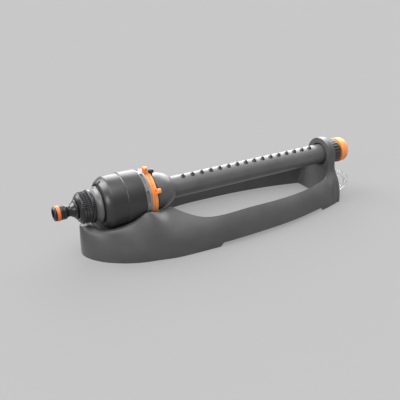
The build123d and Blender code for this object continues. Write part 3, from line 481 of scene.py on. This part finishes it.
# %% Weld and refine the base
def refined_copy(node, longest, region):
    """Welded copy of a CAD mesh in mm, whose edges inside the region are split down to the longest."""
    shape = bmesh.new()
    shape.from_mesh(frame["nodes"][node].data)
    bmesh.ops.transform(shape, matrix=frame["nodes"][node].matrix_world, verts=shape.verts)
    bmesh.ops.scale(shape, vec=(1 / MM, 1 / MM, 1 / MM), verts=shape.verts)
    bmesh.ops.remove_doubles(shape, verts=shape.verts, dist=0.002)
    for _ in range(6):
        inside = [e for e in shape.edges if all(region(v.co) for v in e.verts)]
        long_edges = [e for e in inside if e.calc_length() > longest]
        if not long_edges:
            break
        bmesh.ops.subdivide_edges(shape, edges=long_edges, cuts=1, use_grid_fill=False)
        bmesh.ops.triangulate(shape, faces=[f for f in shape.faces if len(f.verts) > 3])
    return shape


def by_the_trough(p):
    """True at the hose end, over the lower skin and off the middle plane."""
    return p.x < x_dome + 12 and p.z > 14 and abs(p.y) > 6


base_shape = refined_copy("base_frame", 2.2, by_the_trough)
base_shape.normal_update()
print("base after refining:", len(base_shape.faces), "triangles")

# %% [markdown]
# Rolling a corner over means moving the skin near it into the material. Let b be the inward direction
# halfway between the two faces, h the sine of half the angle that the skin turns through, and d the
# distance from the corner. Moving each point by b * R * h / 2 * (1 - d/R)^2 leaves the faces alone at
# d = R, and brings both of them to the corner at right angles to b, so that the crease is gone.


# %% Find the trough's rim
def both_normals(edge):
    """Sum of the normals of an edge's two faces, which points outwards halfway between them."""
    return edge.link_faces[0].normal + edge.link_faces[1].normal


def on_the_rim(p, n):
    """True for an edge with middle p, summed normals n, high up at the hose end and facing up."""
    return p.x < x_dome + 8 and p.z > 24 and abs(p.y) > 8 and n.z > 0.3


def rim_of(shape, chosen):
    """Ends, inward directions and half-angle sines of the convex sharp edges that are chosen."""
    rim = [e for e in shape.edges if len(e.link_faces) == 2 and e.calc_face_angle_signed() > radians(25)]
    rim = [e for e in rim if chosen((e.verts[0].co + e.verts[1].co) / 2, both_normals(e))]
    ends = np.array([[v.co[:] for v in e.verts] for e in rim])
    outward = np.array([both_normals(e).normalized()[:] for e in rim])
    turn = np.array([e.calc_face_angle() for e in rim])
    return ends, -outward, np.sin(turn / 2)


base_rim = rim_of(base_shape, on_the_rim)
print("rim edges:", len(base_rim[0]))


# %% [markdown]
# The corner at the nose is rolled more than the one by the dome, so the radius depends on the place.
# Where several rim edges are near, their directions are blended, and the nearest counts most.


# %% Roll the rim over
def rolled(points, rim, reach):
    """Points moved by b * R * h / 2 * (1 - d/R)^2, with the rim's own values blended by nearness."""
    ends, inward, half_sine = rim
    along = ends[:, 1] - ends[:, 0]
    arm = points[:, None, :] - ends[None, :, 0, :]
    share = np.clip((arm * along).sum(-1) / (along**2).sum(-1), 0, 1)
    gap = np.linalg.norm(arm - share[..., None] * along, axis=-1)
    distance = gap.min(axis=1)
    weight = 1 / (gap**2 + 0.5) ** 3
    weight = weight / weight.sum(axis=1, keepdims=True)
    push = weight @ (inward * half_sine[:, None])
    radius = reach(points)
    share_left = np.clip(1 - distance / radius, 0, 1)
    return points + push * (radius / 2 * share_left**2)[:, None]


def rim_reach(points):
    """Rolling radius: 9 mm at the nose, easing down to 2.5 mm by the dome."""
    u = np.clip((points[:, 0] - x_drum) / (x_dome - x_drum), 0, 1)
    return 9.0 - 6.5 * u * u * (3 - 2 * u)


base_points = np.array([v.co[:] for v in base_shape.verts])
near = (base_points[:, 0] < x_dome + 16) & (base_points[:, 2] > 14)
base_points[near] = rolled(base_points[near], base_rim, rim_reach)
base_faces = np.array([[v.index for v in f.verts] for f in base_shape.faces])
base_shape.free()
print("points near the rim:", int(near.sum()))

# %% [markdown]
# The other edges of the real base have a small radius, and that isn't modelled here: they stay the
# corners that they are in the CAD. They are marked sharp past an angle, which shades the large faces
# smooth up to them.

# %% Base frame
BASE_CREASE = radians(32)
base_mesh = bpy.data.meshes.new("base")
base_mesh.from_pydata((base_points * MM).tolist(), [], base_faces.tolist())
base_mesh.polygons.foreach_set("use_smooth", np.ones(len(base_mesh.polygons), bool))
base_mesh.set_sharp_from_angle(angle=BASE_CREASE)
base_mesh.materials.append(finishes["base_plastic"])
base = bpy.data.objects.new("base", base_mesh)
bpy.context.scene.collection.objects.link(base)
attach(base, "base")
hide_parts("base_frame")
print("base:", len(base_mesh.polygons), "faces")

# %% [markdown]
# ## The hose connector
#
# A quick connector has a short spigot with an O-ring near its tip, a smooth land that the hose
# fitting seals and slides on, and a neck that its grip closes round. A fine groove runs round the
# land, and a cone leads from the neck up to a ring in front of the nut.

# %% Nipple and O-ring
nipple_corners = [
    (0.0, 5.2), (0.0, 6.6), (1.2, 7.8), (2.7, 7.8), (2.7, 6.2), (6.7, 6.2), (6.7, 7.8),
    (9.0, 7.8), (9.2, 7.4), (9.6, 7.4), (9.8, 7.8), (12.2, 7.8), (14.8, 6.0), (17.6, 6.0),
    (21.6, 8.6), (22.2, 10.1), (23.9, 10.1), (24.4, 9.6), (27.0, 9.6), (27.0, 5.2),
]
nipple_profile = rounded(nipple_corners, 0.45) + (x_tip, 0)
make_piece("spigot", [turned(nipple_profile)], "black_plastic", "base", ["hose_nipple"])

o_ring_corners = [(2.85, 6.25), (2.85, 8.05), (6.55, 8.05), (6.55, 6.25)]
o_ring_profile = rounded(o_ring_corners, 0.8) + (x_tip, 0)
make_piece("o_ring", [turned(o_ring_profile)], "orange_rubber", "base", ["nipple_o_ring"])

# %% [markdown]
# The nut has a bevelled front ring, a barrel with three rows of short grips, and a flange at the
# back. The grips are one formula: a cosine round the barrel, raised to a power so that they stand
# apart, times windows in x that make the three rows.

# %% Nut
NUT_GRIPS = 48
GRIP_HEIGHT = 0.85
grip_rows = x_nut + np.array([5.1, 8.0, 10.9])


def nut_grips(x, angle, r):
    """Height times (half cosine)^2 of the grips round the barrel, inside the rows, on the outer skin."""
    row = sum(window(x - middle, 1.0, 0.25) for middle in grip_rows)
    wave = (0.5 + 0.5 * np.cos(NUT_GRIPS * angle)) ** 2
    return GRIP_HEIGHT * row * wave * (r > 15.5)


barrel = x_nut_back - x_nut
nut_corners = [
    (0.0, 10.3), (0.0, 12.6), (0.5, 13.6), (2.6, 15.9), (3.3, 16.1), (barrel - 4.3, 16.3),
    (barrel - 3.9, 17.6), (barrel - 3.1, 18.0), (barrel - 0.4, 18.0), (barrel, 17.5), (barrel, 13.2),
    (2.4, 13.2), (2.4, 10.3),
]
nut_profile = dense(rounded(nut_corners, 0.5, steps=4), 0.35) + (x_nut, 0)
make_piece("nut", [turned(nut_profile, 384, nut_grips)], "black_plastic", "nut", ["union_nut"])

# %% [markdown]
# Behind the nut a flared collar leads up to the drum. Most of it is a long cone whose broad face
# catches the light, with a narrow groove where it meets the drum.

# %% Inlet collar
neck_start = first_x("inlet_collar") - x_nut_back
flare = x_drum - x_nut_back
collar_corners = [
    (neck_start, 9.0), (neck_start, 13.1), (0.3, 13.1), (0.3, 16.2), (0.9, 16.7), (3.2, 17.4),
    (flare - 2.6, 19.6), (flare - 1.2, 19.8), (flare - 0.9, 19.0), (flare - 0.9, 16.5), (flare, 16.5),
    (flare, 15.0), (flare + 6.0, 15.0), (flare + 6.0, 9.0),
]
collar_profile = rounded(collar_corners, 0.4) + (x_nut_back, 0)
make_piece("flared_collar", [turned(collar_profile)], "grey_plastic", "base", ["inlet_collar"])

# %% [markdown]
# ## The drum
#
# The drum holds the gears. Its front half starts with a cone, turns over a soft shoulder, which
# carries the brightest highlight on the whole part, and swells very slightly towards the seam.
# A groove runs round its front face, and a notch at the top lines it up with the collar.


# %% Front shell
front_length = x_seam - x_drum
NOTCH_ANGLE = radians(2.0)


def alignment_notch(x, angle, r):
    """A slot 2 mm wide and 2.5 mm long in the front rim at the top, down to radius 21.4."""
    inside = window(wrapped(angle - NOTCH_ANGLE) * 23, 0.7, 0.5) * window(x - x_drum, 2.4, 0.5)
    return -np.clip(r - 21.4, 0, 6) * inside


front_corners = [
    (0.0, 15.1), (0.0, 19.9), (2.2, 19.9), (2.2, 21.6), (0.0, 21.6), (0.0, 23.4), (0.7, 24.3), (4.0, 27.0),
    (7.0, 28.5), (13.0, 28.85), (front_length - 0.1, 28.9), (front_length, 28.6), (front_length, 28.1),
    (front_length + 3.0, 28.1), (front_length + 3.0, 26.8), (9.0, 26.8), (4.2, 23.4), (4.2, 15.1),
]
front_radii = [0.2, 0.3, 0.2, 0.2, 0.3, 0.4, 0.6, 2.0, 0.9, 3.0, 0.7, 0.2, 0.1, 0.3, 0.3, 1.0, 1.0, 0.3]
front_profile = dense(rounded(front_corners, front_radii, steps=6), 0.8) + (x_drum, 0)
front_grid = turned(front_profile, 360, alignment_notch)
make_piece("drum_front", [front_grid], "drum_plastic", "base", ["drum_front_shell"])

# %% [markdown]
# The rear half is a little larger than the front half, so its front edge is a step that shows as a
# fine bright seam. The tongue of the front half reaches under it and closes the joint inside.

# %% Rear shell
rear_length = x_pockets - x_seam
rear_corners = [
    (0.0, 28.2), (0.0, 28.75), (1.0, 29.5), (rear_length, 29.45), (rear_length, 14.2),
    (rear_length - 3.0, 14.2), (rear_length - 3.0, 26.7), (3.2, 26.7), (3.2, 28.2),
]
rear_radii = [0.1, 0.1, 0.4, 0.25, 0.3, 0.3, 0.8, 0.3, 0.2]
rear_profile = rounded(rear_corners, rear_radii, steps=7) + (x_seam, 0)
rear_grid = turned(rear_profile, 192)
make_piece("drum_rear", [rear_grid], "drum_plastic", "base", ["drum_rear_shell"])

# %% [markdown]
# The fixed ring behind the drum has long pockets with round ends, which save plastic. A pocket is a
# superellipse in x and arc length: the skin sinks by the depth where the fourth powers of the two
# shares add up to less than one, with an eased wall.

# %% Pocket ring
POCKETS = 8
POCKET_DEPTH = 1.7
POCKET_HALF_LENGTH = 7.4
POCKET_HALF_WIDTH = 1.7
POCKET_PHASE = radians(75.0)
POCKET_RADIUS = 28.6
ring_width = x_stop_a - x_pockets + 0.4
pocket_middle = x_pockets + ring_width / 2 - 0.1


def ring_pockets(x, angle, r):
    """Minus the depth times an eased step of 1 - (dx/width)^4 - (arc/length)^4, on the outer skin."""
    turn = 2 * pi / POCKETS
    arc = ((angle - POCKET_PHASE + turn / 2) % turn - turn / 2) * POCKET_RADIUS
    inside = 1 - ((x - pocket_middle) / POCKET_HALF_WIDTH) ** 4 - (arc / POCKET_HALF_LENGTH) ** 4
    step = np.clip(inside / 0.35, 0, 1)
    return -POCKET_DEPTH * step * step * (3 - 2 * step) * (r > 28.0)


sleeve_end = last_x("pocket_ring") - x_pockets
ring_corners = [
    (0.0, 21.7), (0.0, 26.6), (0.7, 26.6), (0.7, 28.2), (1.0, 28.5), (ring_width - 1.5, 28.2),
    (ring_width - 0.7, 28.9), (ring_width - 0.2, 28.9), (ring_width, 28.5), (ring_width, 23.5),
    (sleeve_end, 23.5), (sleeve_end, 21.7),
]
ring_profile = dense(rounded(ring_corners, 0.4, steps=5), 0.3) + (x_pockets, 0)
pocket_grid = turned(ring_profile, 360, ring_pockets)
# Its finish has painted light: a paler grey that lifts the shade round the ring.
make_piece("pocketed_ring", [pocket_grid], "ring_plastic_painted_light", "base", ["pocket_ring"])

# %% [markdown]
# ## Stop rings and levers
#
# Two orange friction rings set where the spray turns back. Each has a lever, a flat tab with a
# rounded top and a shallow recess, so that its rim stands proud and catches the light. A tab is a
# stack of outlines: each ring of points is the outline pulled towards the middle by some inset, at
# some depth through the thickness.


# %% Tabs
def tab_grid(outline, steps, x, angle, middle):
    """Rings of an outline in (across, outward) mm. steps holds (inset, depth); inset 99 is the middle.

    A ring's point is middle + direction times (distance - inset). Depth runs along X from x. Outward
    is away from the spray axis, and across is round it, at the given angle from upright.
    """
    middle = np.array(middle, float)
    arm = outline - middle
    distance = np.linalg.norm(arm, axis=1, keepdims=True)
    inset = np.array([step[0] for step in steps])[:, None, None]
    depth = np.array([step[1] for step in steps])[:, None]
    ring = middle + arm / distance * np.maximum(distance - inset, 0)
    across, outward = ring[..., 0], ring[..., 1]
    y = -outward * sin(angle) - across * cos(angle)
    z = AXIS + outward * cos(angle) - across * sin(angle)
    return np.stack([x + depth + np.zeros_like(y), y, z], axis=-1), False, True


def lever_steps(thickness, rim, recess, edge):
    """Insets and depths from the middle of the recessed face, over the rim and side, to the back."""
    recessed = [(99, recess), (rim + 0.25, recess), (rim, recess * 0.6), (rim - 0.15, 0.08)]
    front = [(edge, 0.0), (edge * 0.3, edge * 0.3), (0, edge)]
    back = [(0, thickness - edge), (edge * 0.3, thickness - edge * 0.3), (edge, thickness), (99, thickness)]
    return recessed + front + back


print("a lever is a stack of", len(lever_steps(4.2, 1.1, 1.3, 0.5)), "outlines")


# %% [markdown]
# Both rings come from one function. They differ in where they sit along the axis, in the angle of
# the lever, and in a small shift between ring and lever.


# %% Stop rings
def stop_ring(name, ring_x, lever_x, lever_angle, node):
    """Friction ring from radius 23.6 to 27.5 at ring_x, with its lever at an angle and at lever_x."""
    width, outer = 3.5, 27.5
    corners = [(0, 23.6), (0, 27.0), (0.4, outer), (width - 0.4, outer), (width, 27.0), (width, 23.6)]
    ring = rounded(corners, 0.4) + (ring_x, 0)
    lever = [(-2.5, 26.4), (2.5, 26.4), (2.5, 35.1), (-2.5, 35.1)]
    lever = rounded(lever, [0.3, 0.3, 2.0, 2.0], steps=9)
    lever_grid = tab_grid(lever, lever_steps(4.2, 1.1, 1.3, 0.5), lever_x, radians(lever_angle), (0, 31.3))
    make_piece(name, [turned(ring, 192), lever_grid], "orange_plastic", name, [node])


stop_ring("front_stop", x_stop_a + 0.6, x_stop_a, 12.0, "front_stop_ring")
stop_ring("rear_stop", x_stop_b + 0.1, x_stop_b + 0.9, 65.0, "rear_stop_ring")

# %% [markdown]
# The trip lever is what the stops push. Its ring is hidden behind the stop rings, and only its black
# head shows, a rounded wedge that leans over the rear ring. The wedge is a tab as well, with a wide
# foot and a narrow top, and no recess.

# %% Trip lever
trip_width = 2.8
trip_ring = rounded([(0, 14.1), (0, 21.0), (trip_width, 21.0), (trip_width, 14.1)], 0.3)
trip_start = x_trip_end - trip_width
stem = rounded([(-2.1, 20.0), (2.1, 20.0), (2.1, 29.4), (-2.1, 29.4)], 0.3)
stem_grid = tab_grid(stem, lever_steps(trip_width, 0.6, 0.0, 0.3), trip_start, radians(10.0), (0, 25))
wedge = rounded([(-2.9, 27.6), (2.9, 27.6), (2.2, 31.0), (-1.5, 31.0)], [0.4, 0.4, 1.4, 1.2], steps=9)
wedge_steps = [
    (99, 0), (1.5, 0.0), (0.9, 0.5), (0.4, 1.6), (0, 3.4), (0, 5.6), (0.35, 6.2), (0.9, 6.4), (99, 6.4),
]
wedge_grid = tab_grid(wedge, wedge_steps, trip_start - 2.8, radians(12.5), (0, 29.6))
trip_grids = [turned(trip_ring + (trip_start, 0), 128), stem_grid, wedge_grid]
make_piece("trip_head", trip_grids, "black_plastic", "trip", ["trip_lever"])

# %% [markdown]
# ## The dome and the spray tube
#
# The dome covers the joint between drum and tube. Its radius falls slowly at first and then fast, as
# the end radius plus a swell times (1 - u^2.6)^0.85, where u runs from 0 at the drum to 1 at the tube.

# %% Dome
DOME_END_RADIUS = 13.3
SWELL = 21.2 - DOME_END_RADIUS
dome_length = x_tube - x_dome
u = np.linspace(0, 1, 40)[:, None]
dome_outer = np.hstack([u * (dome_length - 0.6), DOME_END_RADIUS + SWELL * (1 - u**2.6) ** 0.85])
dome_lip = np.array([(dome_length - 0.25, 13.2), (dome_length, 12.95), (dome_length, 12.56)])
dome_inner_radius = 12.56 + (SWELL - 1.8) * (1 - (1 - u) ** 2.6) ** 0.85
dome_inner = np.hstack([(1 - u) * (dome_length - 3.0), dome_inner_radius])
dome_front = np.array([(0.0, 18.6), (0.0, 20.7), (0.25, 21.1)])
dome_profile = np.vstack([dome_outer[1:], dome_lip, dome_inner, dome_front]) + (x_dome, 0)
make_piece("dome", [turned(dome_profile, 160)], "grey_plastic", "spray", ["dome_shell"])

# %% [markdown]
# The tube is plain, but it is hollow, and behind the end collar it is turned down to a thin neck. The
# profile is split every 12 mm, so that no face is a sliver as long as the tube.

# %% Tube
TUBE_RADIUS = 12.5
tube_start = first_x("spray_tube")
tube_end = last_x("spray_tube")
tube_corners = [
    (tube_start, 10.2), (tube_start, TUBE_RADIUS), (x_neck, TUBE_RADIUS), (x_neck, 11.4),
    (tube_end, 11.4), (tube_end, 10.2),
]
tube_profile = dense(rounded(tube_corners, 0.3), 12.0)
make_piece("tube", [turned(tube_profile, 128)], "grey_plastic", "spray", ["spray_tube"])

# %% [markdown]
# Sixteen rubber nozzles stand in a row along the tube. All of them come from one small profile, and
# the row is one array: profile, turn and nozzle are three axes of it. Each nozzle leans along the
# tube by its own fan angle, and the row as a whole is tilted towards the viewer.

# %% Nozzle profile
NOZZLES = 16
NOZZLE_PITCH = 12.25
FIRST_NOZZLE = 14.5
TILT = radians(15.0)
FAN = radians(5.0)
nozzle_corners = [
    (0.6, -1.1), (2.75, -1.1), (2.75, 0.55), (2.35, 0.85), (1.75, 1.25), (1.35, 2.6),
    (0.85, 2.6), (0.6, 2.2),
]
nozzle_profile = rounded(nozzle_corners, 0.3, steps=4)
print("nozzle profile:", len(nozzle_profile), "points")

# %% [markdown]
# A nozzle's point is its radius turned by the spin angle, and its height, both leaned by the fan
# angle: along = radius cos(spin) cos(lean) + height sin(lean), and out = tube radius + height
# cos(lean) - radius cos(spin) sin(lean). Side = radius sin(spin). The tilt then turns out and side
# round the axis.

# %% Row of nozzles
number = np.arange(NOZZLES)[:, None, None]
spin = 2 * pi * np.arange(28)[None, None, :] / 28
radius = nozzle_profile[None, :, 0:1]
height = nozzle_profile[None, :, 1:2]
lean = FAN * (number - (NOZZLES - 1) / 2) / ((NOZZLES - 1) / 2)
along = radius * np.cos(spin) * np.cos(lean) + height * np.sin(lean)
side = radius * np.sin(spin) + 0 * lean
out = TUBE_RADIUS + height * np.cos(lean) - radius * np.cos(spin) * np.sin(lean)
nozzle_x = x_tube + FIRST_NOZZLE + NOZZLE_PITCH * number + along
nozzle_y = -out * sin(TILT) - side * cos(TILT)
nozzle_z = AXIS + out * cos(TILT) - side * sin(TILT)
nozzle_points = np.stack([nozzle_x, nozzle_y, nozzle_z], axis=-1)
nozzle_grids = [(points, True, True) for points in nozzle_points]
make_piece("nozzle_row", nozzle_grids, "black_rubber", "spray", ["spray_nozzles"])

# %% [markdown]
# ## The far end
#
# A collar with fine ribs holds the tube in its bearing. The ribs are a window in the angle, repeated
# round the collar, times a window in x that lets them end before the rims.

# %% End collar
COLLAR_RIBS = 24
RIB_HEIGHT = 0.6
collar_length = x_neck - x_end_collar


def collar_ribs(x, angle, r):
    """Height times a window in the repeated arc and a window in x that keeps clear of the rims."""
    pitch = 2 * pi / COLLAR_RIBS
    offset = (angle + pitch / 2) % pitch - pitch / 2
    rib = window(offset * 15, 0.5, 0.45)
    span = window(x - x_end_collar - collar_length / 2, collar_length / 2 - 2.0, 0.6)
    return RIB_HEIGHT * rib * span * (r > 14.3)


end_corners = [
    (0.0, 12.55), (0.0, 14.6), (0.3, 14.9), (collar_length - 0.6, 14.9), (collar_length, 14.3),
    (collar_length, 12.55),
]
end_profile = dense(rounded(end_corners, 0.5), 0.5) + (x_end_collar, 0)
collar_grid = turned(end_profile, 288, collar_ribs)
make_piece("ribbed_collar", [collar_grid], "drum_plastic", "spray", ["end_collar"])

# %% [markdown]
# The orange cap pulls out for flushing the tube. Its head has a raised rim at the front, a shallow
# waist for the fingers, and a rounded back. The plug with its seal groove goes into the tube. The head
# stops just short of the tube's end, so that their two faces don't lie in one plane. The profile
# starts and ends on the axis.

# %% End cap
HEAD_GAP = 0.15
head = x_end - tube_end
plug = first_x("end_cap") - tube_end
cap_corners = [
    (plug, 0.0), (plug, 9.3), (plug + 0.8, 10.1), (plug + 3.0, 10.1), (plug + 3.0, 8.5),
    (plug + 5.0, 8.5), (plug + 5.0, 10.1), (HEAD_GAP, 10.1), (HEAD_GAP, 15.2), (0.5, 15.9),
    (2.9, 15.9), (3.3, 14.9), (4.4, 14.9), (5.2, 15.6), (head - 2.6, 15.3), (head - 0.6, 12.6),
    (head, 10.2), (head - 0.5, 9.0), (head - 0.7, 0.0),
]
cap_radii = [0, 0.3, 0.3, 0.2, 0.2, 0.2, 0.2, 0.2, 0.4, 0.5, 0.4, 0.3, 0.4, 0.8, 2.0, 1.4, 0.9, 1.2, 0]
cap_profile = rounded(cap_corners, cap_radii, steps=7) + (tube_end, 0)
make_piece("cap", [turned(cap_profile, 128)], "orange_plastic", "cap", ["end_cap"])

# %% [markdown]
# A clear loop sticks out of the end wall, for hanging the sprinkler up. Its section, a rounded bar,
# is carried along half an ellipse. At each point the section is laid across the path with the path's
# own normal, which for an ellipse of half axes a and b points along (cos t / a, sin t / b).

# %% Hang tab
tab_low, tab_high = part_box("hang_tab")
tab_y = (tab_low.y + tab_high.y) / 2 / MM
tab_z = (tab_low.z + tab_high.z) / 2 / MM
BAR_WIDTH, BAR_THICKNESS = 6.8, 3.0
half_length = (tab_high.x / MM - x_hoop_back) - BAR_WIDTH / 2
half_height = (tab_high.z - tab_low.z) / 2 / MM - BAR_WIDTH / 2
LOOP_POINTS = 61
t = np.linspace(-pi / 2, pi / 2, LOOP_POINTS)[:, None]
normal = np.stack([np.cos(t) / half_length, np.sin(t) / half_height], axis=-1)
normal = normal / np.linalg.norm(normal, axis=-1, keepdims=True)
half_w, half_t = BAR_WIDTH / 2, BAR_THICKNESS / 2
bar_corners = [(-half_w, -half_t), (half_w, -half_t), (half_w, half_t), (-half_w, half_t)]
bar = rounded(bar_corners, 1.1, steps=7)
share = np.concatenate([[0], np.ones(LOOP_POINTS), [0]])[:, None]
path = np.concatenate([t[:1], t, t[-1:]])
across_bar = np.concatenate([normal[:1], normal, normal[-1:]])
bar_x = x_hoop_back + half_length * np.cos(path) + across_bar[..., 0] * bar[None, :, 0] * share
bar_z = tab_z + half_height * np.sin(path) + across_bar[..., 1] * bar[None, :, 0] * share
bar_y = tab_y + bar[None, :, 1] * share
loop_points = np.stack([np.maximum(bar_x, x_hoop_back), bar_y, bar_z], axis=-1)
make_piece("hang_loop", [(loop_points, False, True)], "clear_plastic", "base", ["hang_tab"])

# %% [markdown]
# ## What stays from the CAD
#
# The bush, the seals, the gears and the turbine keep their CAD meshes, because their shapes are
# already right and most of them are hidden. Each takes the finish of its slot in the record.

# %% Finishes for the CAD nodes
kept = 0
for part in frame["record"]["subparts"]:
    node = frame["nodes"][part["node"]]
    if not node.hide_render:
        node.data.materials.clear()
        node.data.materials.append(finishes[part["material_slot"]])
        kept += 1
print("CAD nodes kept:", kept)
